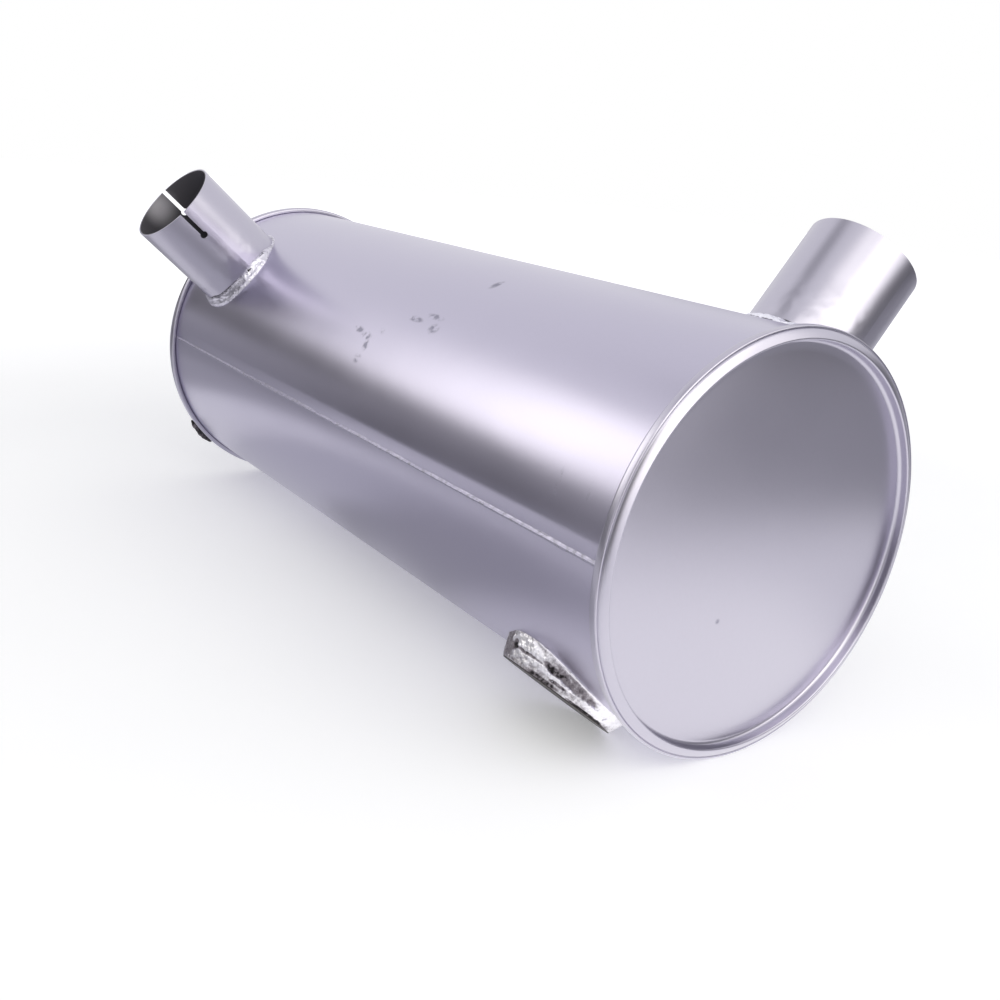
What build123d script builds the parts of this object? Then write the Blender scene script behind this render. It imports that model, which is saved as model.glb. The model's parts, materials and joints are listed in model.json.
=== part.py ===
"""Round exhaust muffler: a rolled drum with two rolled-on end caps and two cross pipes.

Frame: X along the drum, from the inlet end (-X) to the outlet end (+X), +Z up, with the
origin on the drum's axis at the middle of its length. The muffler lies as it rests on a
floor: on its two rims and on the lower end of the outlet pipe, on the -Y side.
Millimetres and degrees. Angles about X are counted from +Y towards +Z.
"""

import os
from math import acos, asin, atan2, cos, degrees, hypot, pi, radians, sin, sqrt

from build123d import *

# Drum
drum_diameter = 250.0
body_length = 611.0
sheet = 1.5
seam_angle = 126.3          # from the outlet pipe to the straight seam
seam_weld_width = 3.0
seam_weld_crown = 0.5

# Rolled rims and end caps
rim_proud = 3.8             # how far the rim stands out of the drum
front_round = 4.3           # radius of the rim's front corner
crest_flat = 1.5            # flat front of the rim
crest_bend = 2.0            # radius where that flat turns into the wall of the recess
rim_land = 0.45             # straight part of the rim's outside
recess_depth = 6.8
panel_fillet = 2.6
panel_dome = 5.0            # how far the middle of the panel bulges outwards
panel_flat = 6.0            # radius of the flat in the middle of the dome
seam_gap = 0.05             # clearance between the rolled layers
flange_bend = 2.0

# Cross pipes
inlet_diameter = 74.0
outlet_diameter = 76.3
pipe_wall = 1.5
inlet_stand_out = 77.0      # mouth above the drum's surface
outlet_stand_out = 79.0
foot_stand_out = 10.0       # lower end of the outlet pipe below the drum's surface
inlet_from_end = 70.0       # pipe axis to the outside of the rear rim
outlet_from_end = 72.0
pipe_spread = 88.5          # angle between the two pipes, about the drum
hole_clearance = 0.15       # between a pipe and its hole in the drum

# Slots of the inlet pipe
slot_width = 3.4
slot_length = 24.5          # from the mouth to the centre of the round end
slot_hole = 6.0
slot_turn = -12.0           # of the slot that faces forward, about the pipe

# Holes through the pipes inside the drum
gas_hole = 12.0
gas_rows = 5
gas_row_pitch = 30.0
gas_hole_count = 6          # in a row

# Baffles and transfer tubes
end_chamber = 170.5         # from the rim's front to the baffle's outer face
baffle_flange = 12.0
baffle_bend = 3.0
baffle_clearance = 0.2      # to the drum
drain_hole = 8.0
tack_count = 6              # tack welds of each baffle
tack_leg = 4.0
tack_turn = 14.0            # angle that each tack spans
tube_diameter = 50.8
tube_wall = 1.5
tube_count = 3
tube_from_drum = 28.0       # between a tube and the baffle's edge
tube_overhang = 15.0        # past each baffle
tube_clearance = 0.15       # in the baffle's hole
tube_hole = 10.0
tube_rows = 3
tube_row_pitch = 60.0
tube_hole_count = 4         # in a row

# End plates of the cross pipes
plate_thickness = 2.5
inlet_end_gap = 23.5        # from the inlet pipe's inner end to the drum's far wall

# Weld beads
pipe_weld_leg = 6.0
weld_root = 0.6             # how deep a bead melts into the pipe
weld_root_over = 0.2        # height of the melted zone above the bead
weld_flare = 1.2            # how thick the weld metal is on the pipe beside the drum
foot_weld_toe = 4.85        # how far the foot weld spreads over the drum beside the pipe
foot_weld_lip = 1.0         # how far the pipe's end stands out of the foot weld
foot_weld_edge = 0.6        # thickness of the foot weld at its lower edge
tube_weld_leg = 3.5

# Sizes that follow
drum_radius = drum_diameter / 2
drum_bore = drum_radius - sheet
half_length = body_length / 2
rim_radius = drum_radius + rim_proud
chuck_radius = rim_radius - front_round - crest_flat - crest_bend
inlet_radius = inlet_diameter / 2
outlet_radius = outlet_diameter / 2
tube_radius = tube_diameter / 2
baffle_radius = drum_bore - baffle_clearance
tube_circle = baffle_radius - tube_from_drum - tube_radius
baffle_from_middle = half_length - end_chamber
inlet_x = inlet_from_end - half_length
outlet_x = half_length - outlet_from_end
inlet_height = drum_radius + inlet_stand_out
outlet_height = drum_radius + outlet_stand_out
outlet_foot = drum_radius + foot_stand_out
inlet_end = inlet_end_gap - drum_bore

# Resting on both rims and on the lower end of the outlet pipe
foot_reach = hypot(outlet_foot, outlet_radius)
foot_corner = degrees(atan2(outlet_radius, outlet_foot))
outlet_angle = 90 - foot_corner - degrees(acos(rim_radius / foot_reach))
inlet_angle = outlet_angle + pipe_spread
seam_direction = outlet_angle + seam_angle

# The rim's section: two round corners with a short land between them
rear_round = rim_proud - seam_gap
rim_width = front_round + rim_land + rear_round
front_centre = (-front_round, rim_radius - front_round)
rear_centre = (-front_round - rim_land, rim_radius - rear_round)
flange_half = sheet / 2
flange_middle = -front_round - rim_land / 2
corner_offset = flange_half + rim_land / 2


def corner_room(centre, radius):
    """Radius at which the flange's edge meets the inside of one of the rim's corners."""
    inside = radius - sheet
    return centre[1] + sqrt(max(inside**2 - corner_offset**2, 0.0))


flange_radius = min(corner_room(front_centre, front_round), corner_room(rear_centre, rear_round)) - seam_gap


def turned(shape, angle):
    """Turn a shape made upright about Z so that its +Z points along an angle about X."""
    return Rot(angle - 90, 0, 0) * shape


def placed(shape, x, angle):
    """Stand an upright shape on the drum's axis at x, pointing along an angle about X."""
    return Pos(x, 0, 0) * turned(shape, angle)


def about_drum(profile):
    """Revolve a profile drawn as (along X, radius) about the drum's axis."""
    return revolve(profile, Axis.X, 360)


def both_ends(front):
    """A shape made for the front end, and its mirror at the rear end."""
    return front, mirror(front, Plane.YZ)


def sheet_section(path):
    """Section of bent sheet metal that follows a path, with the sheet on the left of it."""
    return make_face(path.offset_2d(sheet, side=Side.LEFT, kind=Kind.ARC))


def drum_cylinder(radius, length=None):
    """Solid cylinder about the drum's axis."""
    return Rot(0, 90, 0) * Cylinder(radius, length or body_length)


def end_cap():
    """Front end cap: domed panel, recess wall and rim, rolled over the drum's flange."""
    edge_radius = chuck_radius - panel_fillet
    panel_x = -recess_depth
    middle = Line((panel_x + panel_dome, 0), (panel_x + panel_dome, panel_flat))
    dome = TangentArc((panel_x + panel_dome, panel_flat), (panel_x, edge_radius), tangent=(0, 1))
    corner = TangentArc((panel_x, edge_radius), (panel_x + panel_fillet, chuck_radius), tangent=(0, 1))
    wall = Line((panel_x + panel_fillet, chuck_radius), (-crest_bend, chuck_radius))
    crest = TangentArc((-crest_bend, chuck_radius), (0, chuck_radius + crest_bend), tangent=(1, 0))
    front = Line((0, chuck_radius + crest_bend), (0, front_centre[1]))
    front_corner = TangentArc((0, front_centre[1]), (front_centre[0], rim_radius), tangent=(0, 1))
    land = Line((front_centre[0], rim_radius), (rear_centre[0], rim_radius))
    rear_corner = TangentArc(
        (rear_centre[0], rim_radius), (rear_centre[0] - rear_round, rear_centre[1]), tangent=(-1, 0)
    )
    path = Wire([middle, dome, corner, wall, crest, front, front_corner, land, rear_corner])
    return Pos(half_length, 0, 0) * about_drum(sheet_section(path))


def drum_sheet():
    """Drum with both ends flared outwards, still without its seam and pipe holes."""
    front_face = flange_middle + flange_half
    start = Line((-half_length, drum_bore), (front_face - flange_bend, drum_bore))
    bend = TangentArc(
        (front_face - flange_bend, drum_bore), (front_face, drum_bore + flange_bend), tangent=(1, 0)
    )
    flange = Line((front_face, drum_bore + flange_bend), (front_face, flange_radius))
    half = Pos(half_length, 0, 0) * about_drum(sheet_section(Wire([start, bend, flange])))
    return half + mirror(half, Plane.YZ)


def seam_box(width):
    """Block that reaches from the drum's axis out through its wall along the seam."""
    block = Box(body_length, width, rim_radius, align=(Align.CENTER, Align.CENTER, Align.MIN))
    return turned(block, seam_direction)


def drum_shell():
    """The drum: rolled sheet, open along the seam, with holes for the cross pipes."""
    shell = drum_sheet() - seam_box(seam_weld_width)
    upwards = (Align.CENTER, Align.CENTER, Align.MIN)
    inlet_hole = Cylinder(inlet_radius + hole_clearance, drum_diameter, align=upwards)
    outlet_hole = Cylinder(outlet_radius + hole_clearance, drum_diameter * 1.5)
    shell -= placed(inlet_hole, inlet_x, inlet_angle)
    shell -= placed(outlet_hole, outlet_x, outlet_angle)
    return shell


def drum_seam_weld():
    """Bead that closes the seam up to the flared ends, with a low crown between the rims."""
    length = body_length + 2 * (flange_middle + flange_half - flange_bend)
    root = drum_cylinder(drum_radius, length) - drum_cylinder(drum_bore, length)
    strip = root & seam_box(seam_weld_width)
    between_rims = body_length - 2 * (rim_width + seam_gap)
    crown_radius = ((seam_weld_width / 2) ** 2 + seam_weld_crown**2) / (2 * seam_weld_crown)
    rod = Pos(0, 0, drum_radius + seam_weld_crown - crown_radius) * drum_cylinder(crown_radius, between_rims)
    crown = (turned(rod, seam_direction) - drum_cylinder(drum_radius)) & seam_box(seam_weld_width)
    return strip + crown


def tube(outer, wall, low, high):
    """Upright tube between two heights."""
    ring = Circle(outer) - Circle(outer - wall)
    return extrude(Pos(0, 0, low) * ring, high - low)


def radial_holes(diameter, reach, heights, round_count):
    """Rods that pierce an upright tube, row by row, with every second row turned half a step."""
    rods = []
    step = 360 / round_count
    for row, height in enumerate(heights):
        for i in range(round_count):
            turn = step * (i + row % 2 / 2)
            rod = Rot(0, 90, 0) * Cylinder(diameter / 2, reach, align=(Align.CENTER, Align.CENTER, Align.MIN))
            rods.append(Pos(0, 0, height) * Rot(0, 0, turn) * rod)
    return rods


def spread(count, pitch):
    """Evenly pitched places about zero."""
    return [pitch * (i - (count - 1) / 2) for i in range(count)]


def slots():
    """Two slots across the inlet pipe's mouth, each with a round hole at its end."""
    blade = Box(inlet_diameter * 1.5, slot_width, slot_length, align=(Align.CENTER, Align.CENTER, Align.MAX))
    rod = Rot(0, 90, 0) * Cylinder(slot_hole / 2, inlet_diameter * 1.5)
    cut = Pos(0, 0, inlet_height) * blade + Pos(0, 0, inlet_height - slot_length) * rod
    return Rot(0, 0, slot_turn) * cut


def melted_zone(pipe_radius):
    """Ring of an upright pipe's wall, outside the drum, that its weld bead has melted into."""
    top = drum_radius + pipe_weld_leg + weld_root_over
    return tube(pipe_radius, weld_root, 0, top) - drum_cylinder(drum_radius, drum_diameter)


def inlet_pipe():
    """Inlet: slotted at its mouth and pierced inside the drum."""
    pipe = tube(inlet_radius, pipe_wall, inlet_end, inlet_height) - slots()
    pipe -= radial_holes(gas_hole, inlet_diameter, spread(gas_rows, gas_row_pitch), gas_hole_count)
    return placed(pipe - melted_zone(inlet_radius), inlet_x, inlet_angle)


def outlet_pipe():
    """Outlet: crosses the drum and stands out of both sides, pierced inside the drum."""
    pipe = tube(outlet_radius, pipe_wall, plate_thickness - outlet_foot, outlet_height)
    pipe -= radial_holes(gas_hole, outlet_diameter, spread(gas_rows, gas_row_pitch), gas_hole_count)
    return placed(pipe - melted_zone(outlet_radius), outlet_x, outlet_angle)


def inlet_end_plate():
    """Closes the inner end of the inlet pipe, lying on its edge."""
    plate = Cylinder(inlet_radius, plate_thickness, align=(Align.CENTER, Align.CENTER, Align.MAX))
    return placed(Pos(0, 0, inlet_end) * plate, inlet_x, inlet_angle)


def outlet_end_plate():
    """Closes the lower end of the outlet pipe, lying against its edge."""
    plate = Cylinder(outlet_radius, plate_thickness, align=(Align.CENTER, Align.CENTER, Align.MIN))
    return placed(Pos(0, 0, -outlet_foot) * plate, outlet_x, outlet_angle)


def weld_cone(pipe_radius):
    """Weld metal on an upright pipe, thin at the top of the melted zone and thicker downwards."""
    top = drum_radius + pipe_weld_leg + weld_root_over
    low = sqrt(drum_radius**2 - pipe_radius**2) - sheet
    inner = pipe_radius - weld_root
    profile = Polyline(
        (inner, 0, low), (pipe_radius + weld_flare, 0, low), (pipe_radius, 0, top), (inner, 0, top), close=True
    )
    return revolve(make_face(profile), Axis.Z, 360) - drum_cylinder(drum_radius, drum_diameter)


def pipe_weld(pipe_radius, x, angle):
    """Fillet bead along the curve where a pipe leaves the drum, with the zone it melted."""
    piece = drum_cylinder(drum_radius, drum_diameter)
    stub = Cylinder(pipe_radius, drum_diameter, align=(Align.CENTER, Align.CENTER, Align.MIN))
    joined = piece + stub
    saddle = [e for e in joined.edges() if e.geom_type not in (GeomType.LINE, GeomType.CIRCLE)]
    bead = chamfer(saddle, pipe_weld_leg) - piece - stub
    return placed(bead + weld_cone(pipe_radius), x, angle)


def foot_weld():
    """Heavy conical bead from the drum down to the lower end of the outlet pipe."""
    inner = outlet_radius
    low = foot_weld_lip - outlet_foot
    toe = inner + foot_weld_toe
    deep = sqrt(drum_radius**2 - toe**2)
    slope = (foot_weld_toe - foot_weld_edge) / (-low - deep)
    top = deep - sheet
    profile = Polyline(
        (inner, 0, low), (inner + foot_weld_edge, 0, low), (toe + slope * sheet, 0, -top),
        (inner, 0, -top), close=True,
    )
    bead = revolve(make_face(profile), Axis.Z, 360) - drum_cylinder(drum_radius, drum_diameter)
    return placed(bead, outlet_x, outlet_angle)


def tube_places():
    """Angles about the drum at which the transfer tubes stand."""
    return [outlet_angle + 360 / tube_count * (i + 0.5) for i in range(tube_count)]


def along_drum(shape, angle, radius):
    """Lay an upright shape along X and move it out from the drum's axis."""
    return Pos(0, radius * cos(radians(angle)), radius * sin(radians(angle))) * Rot(0, 90, 0) * shape


def baffle():
    """Front baffle: flanged disc that fits in the drum, with holes for tubes and drainage."""
    x = baffle_from_middle
    path = Wire([
        Line((x, 0), (x, baffle_radius - baffle_bend)),
        TangentArc((x, baffle_radius - baffle_bend), (x - baffle_bend, baffle_radius), tangent=(0, 1)),
        Line((x - baffle_bend, baffle_radius), (x - baffle_flange, baffle_radius)),
    ])
    plate = about_drum(sheet_section(path))
    reach = 4 * baffle_flange
    for angle in tube_places():
        plate -= Pos(x, 0, 0) * along_drum(Cylinder(tube_radius + tube_clearance, reach), angle, tube_circle)
    drain = baffle_radius - baffle_bend - drain_hole
    return plate - Pos(x, 0, 0) * along_drum(Cylinder(drain_hole / 2, reach), 270, drain)


def baffle_tacks():
    """Short fillet beads that hold the open edge of the front baffle's flange to the drum."""
    x = baffle_from_middle - baffle_flange
    corners = ((x, drum_bore), (x - tack_leg, drum_bore), (x, drum_bore - tack_leg))
    section = make_face(Polyline(*corners, close=True))
    bead = revolve(section, Axis.X, tack_turn)
    step = 360 / tack_count
    return Compound([Rot(step * i, 0, 0) * bead for i in range(tack_count)])


def transfer_tube(angle):
    """Perforated tube from the rear chamber to the front chamber."""
    half = baffle_from_middle + tube_overhang
    pipe = tube(tube_radius, tube_wall, -half, half)
    pipe -= radial_holes(tube_hole, tube_diameter, spread(tube_rows, tube_row_pitch), tube_hole_count)
    return along_drum(pipe, angle, tube_circle)


def tube_welds():
    """Fillet rings that hold the transfer tubes on the outer face of the front baffle."""
    ring = make_face(Polyline(
        (tube_radius, 0, 0), (tube_radius + tube_weld_leg, 0, 0), (tube_radius, 0, tube_weld_leg), close=True
    ))
    bead = Pos(0, 0, baffle_from_middle) * revolve(ring, Axis.Z, 360)
    return Compound([along_drum(bead, angle, tube_circle) for angle in tube_places()])


def all_parts():
    """Every piece of the muffler by name."""
    front_cap, rear_cap = both_ends(end_cap())
    front_baffle, rear_baffle = both_ends(baffle())
    front_baffle_tacks, rear_baffle_tacks = both_ends(baffle_tacks())
    front_tube_welds, rear_tube_welds = both_ends(tube_welds())
    parts = {
        "drum_shell": drum_shell(),
        "drum_seam_weld": drum_seam_weld(),
        "front_end_cap": front_cap,
        "rear_end_cap": rear_cap,
        "inlet_pipe": inlet_pipe(),
        "inlet_weld": pipe_weld(inlet_radius, inlet_x, inlet_angle),
        "inlet_end_plate": inlet_end_plate(),
        "outlet_pipe": outlet_pipe(),
        "outlet_weld": pipe_weld(outlet_radius, outlet_x, outlet_angle),
        "outlet_foot_weld": foot_weld(),
        "outlet_end_plate": outlet_end_plate(),
        "front_baffle": front_baffle,
        "rear_baffle": rear_baffle,
        "front_baffle_tacks": front_baffle_tacks,
        "rear_baffle_tacks": rear_baffle_tacks,
        "front_tube_welds": front_tube_welds,
        "rear_tube_welds": rear_tube_welds,
    }
    for number, angle in enumerate(tube_places(), 1):
        parts[f"transfer_tube_{number}"] = transfer_tube(angle)
    return parts


os.makedirs("parts", exist_ok=True)
for name, shape in all_parts().items():
    export_step(shape, f"parts/{name}.step")
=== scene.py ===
"""Studio scene of a round exhaust muffler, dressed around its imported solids.

The frame is the part's own: X along the drum from the inlet end to the outlet end, +Z up, metres.
Angles about the drum are counted from +Y towards +Z. The muffler stands on its two rims and on
the lower end of the outlet pipe.
"""

from __future__ import annotations

import json
import logging
from dataclasses import dataclass, field
from enum import Enum
from math import acos, atan2, cos, degrees, hypot, pi, radians, sin, sqrt
from typing import Callable, Sequence

import bmesh
import bpy
import numpy as np
from bpy.types import Material, Node, NodeTree, Object
from bpy.types import NodeSocket as Socket
from mathutils import Matrix, Vector, noise

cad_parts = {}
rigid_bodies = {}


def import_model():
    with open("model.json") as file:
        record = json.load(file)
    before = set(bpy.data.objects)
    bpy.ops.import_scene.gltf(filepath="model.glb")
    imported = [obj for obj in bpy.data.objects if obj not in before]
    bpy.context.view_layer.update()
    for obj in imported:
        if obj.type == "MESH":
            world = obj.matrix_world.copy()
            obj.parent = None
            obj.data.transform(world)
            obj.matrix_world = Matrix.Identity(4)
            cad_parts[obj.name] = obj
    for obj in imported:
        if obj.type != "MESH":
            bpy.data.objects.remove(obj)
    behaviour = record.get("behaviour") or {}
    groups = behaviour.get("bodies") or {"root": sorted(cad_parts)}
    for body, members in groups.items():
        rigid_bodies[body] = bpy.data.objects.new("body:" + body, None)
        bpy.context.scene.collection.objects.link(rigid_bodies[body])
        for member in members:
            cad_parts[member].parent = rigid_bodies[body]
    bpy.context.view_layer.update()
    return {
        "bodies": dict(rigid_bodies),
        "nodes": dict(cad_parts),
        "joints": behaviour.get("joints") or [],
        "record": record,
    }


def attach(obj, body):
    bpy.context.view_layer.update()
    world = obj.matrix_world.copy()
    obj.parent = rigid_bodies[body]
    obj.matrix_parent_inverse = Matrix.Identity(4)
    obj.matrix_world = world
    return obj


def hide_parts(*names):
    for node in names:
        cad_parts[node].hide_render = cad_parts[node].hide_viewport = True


LOG = logging.getLogger("muffler")
BODY = "root"
MM = 0.001
SHARP_EDGE = radians(40)

Colour = tuple[float, float, float]
Triple = tuple[float, float, float]
Pair = tuple[float, float]


class Finish(Enum):
    """Material slots of the record, passed along with the new pieces."""

    SILVER_PAINT = "silver_paint"
    PAINTED_WELD = "painted_weld"


# Shader building


class Nodes:
    """Short way to add and join the nodes of one node tree."""

    def __init__(self, tree: NodeTree) -> None:
        """Take over a node tree and empty it.

        Args:
            tree: the tree of a material, world or node group.
        """
        self.tree = tree
        tree.nodes.clear()

    def add(self, kind: str, inputs: dict | None = None, **settings: object) -> Node:
        """Add a node.

        Args:
            kind: the node's type without its ShaderNode prefix.
            inputs: value or socket for each named or numbered input.
            settings: properties of the node.

        Returns:
            The new node.
        """
        prefix = "" if kind.startswith("Node") else "ShaderNode"
        node = self.tree.nodes.new(prefix + kind)
        for key, value in settings.items():
            setattr(node, key, value)
        for key, value in (inputs or {}).items():
            self.feed(node.inputs[key], value)
        return node

    def feed(self, socket: Socket, value: object) -> None:
        """Join a socket to another one, or set its value.

        Args:
            socket: the input.
            value: a node's output, or a plain value; a colour may leave out its alpha.
        """
        if isinstance(value, Socket):
            self.tree.links.new(value, socket)
        elif socket.type == "RGBA" and len(value) == 3:
            socket.default_value = (*value, 1.0)
        else:
            socket.default_value = value

    def put(self, tree: NodeTree, **inputs: object) -> bpy.types.bpy_prop_collection:
        """Put a node group into a material and return its outputs."""
        return self.add("Group", inputs, node_tree=tree).outputs

    def place(self) -> Socket:
        """Coordinates of the surface in metres, in the part's own frame."""
        return self.add("TexCoord").outputs["Object"]

    def math(self, operation: str, *values: object, held: bool = False) -> Socket:
        """Add a Math node for sockets or numbers; its result may be held between 0 and 1."""
        inputs = dict(enumerate(values))
        return self.add("Math", inputs, operation=operation, use_clamp=held).outputs[0]

    def vector(self, operation: str, *values: object) -> Socket:
        """Add a Vector Math node; a length or distance gives a number, the rest a vector."""
        outputs = self.add("VectorMath", dict(enumerate(values)), operation=operation).outputs
        return outputs["Value" if operation in ("LENGTH", "DISTANCE") else "Vector"]

    def swing(self, value: Socket, amount: object) -> Socket:
        """Centre a value of 0 to 1 on 0 and multiply it by an amount."""
        return self.math("MULTIPLY", self.math("SUBTRACT", value, 0.5), amount)

    def ramp(
        self, value: Socket, low: float, high: float, start: float = 0, end: float = 1
    ) -> Socket:
        """Map a value smoothly from low and high to start and end, held at both ends."""
        inputs = {0: value, 1: low, 2: high, 3: start, 4: end}
        return self.add("MapRange", inputs, interpolation_type="SMOOTHSTEP").outputs[0]

    def mix(self, factor: object, first: object, second: object, blend: str = "MIX") -> Socket:
        """Mix two colours or sockets by the share of the second."""
        inputs = {0: factor, 6: first, 7: second}
        return self.add("Mix", inputs, data_type="RGBA", blend_type=blend).outputs[2]

    def shade(self, colour: object, gain: Socket) -> Socket:
        """Multiply a colour or socket by a gain."""
        grey = self.add("CombineColor", {0: gain, 1: gain, 2: gain}).outputs[0]
        return self.mix(1.0, colour, grey, "MULTIPLY")

    def noise(self, place: Socket, scale: float, detail: float = 3, rough: float = 0.5) -> Socket:
        """Add a noise texture, with its scale in grains per metre, and return its value."""
        inputs = {"Vector": place, "Scale": scale, "Detail": detail, "Roughness": rough}
        return self.add("TexNoise", inputs).outputs[0]

    def seen(self) -> Socket:
        """Tell the camera's rays, reflections and rays through glass from the rest.

        Returns:
            A socket that is 1 for them, else 0.
        """
        path = self.add("LightPath").outputs
        direct = self.math("MAXIMUM", path["Is Camera Ray"], path["Is Glossy Ray"])
        return self.math("MAXIMUM", direct, path["Is Transmission Ray"])


def group(name: str, inputs: dict, outputs: dict[str, str]) -> tuple[NodeTree, Nodes]:
    """Make an empty shader node group with named sockets.

    Args:
        name: the group's name.
        inputs: name and first value of each input; a tuple of 4 is a colour and of 3 a vector.
        outputs: name and socket type of each output.

    Returns:
        The tree and its node builder.
    """
    tree = bpy.data.node_groups.new(name, "ShaderNodeTree")
    for label, value in inputs.items():
        kind = "NodeSocketFloat"
        if isinstance(value, tuple):
            kind = "NodeSocketColor" if len(value) == 4 else "NodeSocketVector"
        socket = tree.interface.new_socket(name=label, in_out="INPUT", socket_type=kind)
        socket.default_value = value
    for label, kind in outputs.items():
        tree.interface.new_socket(name=label, in_out="OUTPUT", socket_type=kind)
    return tree, Nodes(tree)


class Effects:
    """Shader node groups that the finishes share, each built once."""

    def __init__(self) -> None:
        """Build every group."""
        self.mottle = self._mottle()
        self.grain = self._grain()
        self.smudge = self._smudge()

    def _mottle(self) -> NodeTree:
        """Make the group that varies a colour in soft clouds and fine flakes.

        Returns:
            The group's tree.
        """
        tree, nodes = group(
            "paint_mottle",
            {"Colour": (0.6, 0.6, 0.6, 1.0), "Clouds": 0.05, "Flakes": 0.05},
            {"Colour": "NodeSocketColor", "Mask": "NodeSocketFloat"},
        )
        given = nodes.add("NodeGroupInput").outputs
        place = nodes.place()
        clouds = nodes.noise(place, 9, 4)
        cloudy = nodes.swing(clouds, given["Clouds"])
        flaky = nodes.swing(nodes.noise(place, 420, 2), given["Flakes"])
        gain = nodes.math("ADD", nodes.math("ADD", cloudy, flaky), 1.0)
        colour = nodes.shade(given["Colour"], gain)
        nodes.add("NodeGroupOutput", {"Colour": colour, "Mask": clouds})
        return tree

    def _grain(self) -> NodeTree:
        """Make the group that gives the height of sprayed paint: fine peel over slow waves.

        Returns:
            The group's tree.
        """
        tree, nodes = group(
            "spray_grain", {"Peel": 1.0, "Waves": 1.0, "Scale": 1.0}, {"Height": "NodeSocketFloat"}
        )
        given = nodes.add("NodeGroupInput").outputs
        inputs = {0: nodes.place(), "Scale": given["Scale"]}
        place = nodes.add("VectorMath", inputs, operation="SCALE").outputs[0]
        peel = nodes.math("MULTIPLY", nodes.noise(place, 520, 2, 0.6), given["Peel"])
        waves = nodes.math("MULTIPLY", nodes.noise(place, 45, 2), given["Waves"])
        nodes.add("NodeGroupOutput", {"Height": nodes.math("ADD", peel, waves)})
        return tree

    def _smudge(self) -> NodeTree:
        """Make the group that gives a ragged smudge round a place.

        Returns:
            The group's tree.
        """
        tree, nodes = group(
            "smudge",
            {"Centre": (0.0, 0.0, 0.0), "Reach": (0.02, 0.01, 0.01), "Ragged": 0.6},
            {"Mask": "NodeSocketFloat"},
        )
        given = nodes.add("NodeGroupInput").outputs
        place = nodes.place()
        offset = nodes.vector("SUBTRACT", place, given["Centre"])
        distance = nodes.vector("LENGTH", nodes.vector("DIVIDE", offset, given["Reach"]))
        torn = nodes.ramp(nodes.noise(place, 160, 5, 0.7), 0.42, 0.62)
        ragged = nodes.math("MULTIPLY", torn, given["Ragged"])
        mask = nodes.math("MULTIPLY", nodes.ramp(distance, 1.0, 0.2), ragged, held=True)
        nodes.add("NodeGroupOutput", {"Mask": mask})
        return tree

    def roughen(self, nodes: Nodes, shader: Node, height: float, **values: object) -> None:
        """Feed a shader's normal from the grain group, whose level 1 is a height in metres."""
        inputs = {"Height": nodes.put(self.grain, **values)["Height"], "Distance": height}
        nodes.feed(shader.inputs["Normal"], nodes.add("Bump", inputs).outputs[0])


def principled(name: str) -> tuple[Material, Nodes, Node]:
    """Start a material with one Principled shader.

    Args:
        name: the material's name.

    Returns:
        The material, its node builder and its shader.
    """
    material = bpy.data.materials.new(name)
    material.use_nodes = True
    nodes = Nodes(material.node_tree)
    shader = nodes.add("BsdfPrincipled")
    nodes.add("OutputMaterial", {"Surface": shader.outputs[0]})
    return material, nodes, shader


@dataclass(frozen=True)
class Smudge:
    """Dark rub mark on the paint.

    Its centre is given along the drum, about it in degrees and by the distance from its axis; its
    reach is half its size.
    """

    x: float
    angle: float
    along: float
    round_drum: float
    strength: float
    from_axis: float = 0.125


@dataclass(frozen=True)
class Bore:
    """Inside of a pipe: painted shade, with a patch of painted light on its wall at the mouth."""

    x: float
    angle: float
    radius: float
    edge: float = 0.5 * MM
    # Painted shade: the dark colour of the whole inside of the pipe.
    colour: Colour = (0.11, 0.105, 0.125)
    painted_light: Colour = (0.55, 0.53, 0.6)
    painted_light_x: float = -0.2706
    painted_light_from_axis: float = 0.195
    painted_light_angle: float = 140.9
    painted_light_reach: Pair = (0.002, 0.02)
    roughness: float = 0.2
    metallic: float = 0.3

    def look(self, nodes: Nodes) -> tuple[Socket, Socket]:
        """Work out where the inside is and what colour it has.

        Args:
            nodes: the material's node builder.

        Returns:
            A mask that is 1 inside the pipe, and the colour there: painted shade and light.
        """
        place = nodes.place()
        offset = nodes.vector("SUBTRACT", place, (self.x, 0.0, 0.0))
        across = nodes.vector("CROSS_PRODUCT", offset, about_drum(0.0, 1.0, radians(self.angle)))
        distance = nodes.vector("LENGTH", across)
        inside = nodes.ramp(distance, self.radius - self.edge, self.radius, 1, 0)
        # Painted light: a lighter patch on the wall at the mouth, where light falls in.
        centre = about_drum(self.painted_light_x, self.painted_light_from_axis, radians(self.painted_light_angle))
        painted_light_mask = nodes.ramp(nodes.vector("DISTANCE", place, centre), *self.painted_light_reach, 1, 0)
        return inside, nodes.mix(painted_light_mask, self.colour, self.painted_light)


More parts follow.
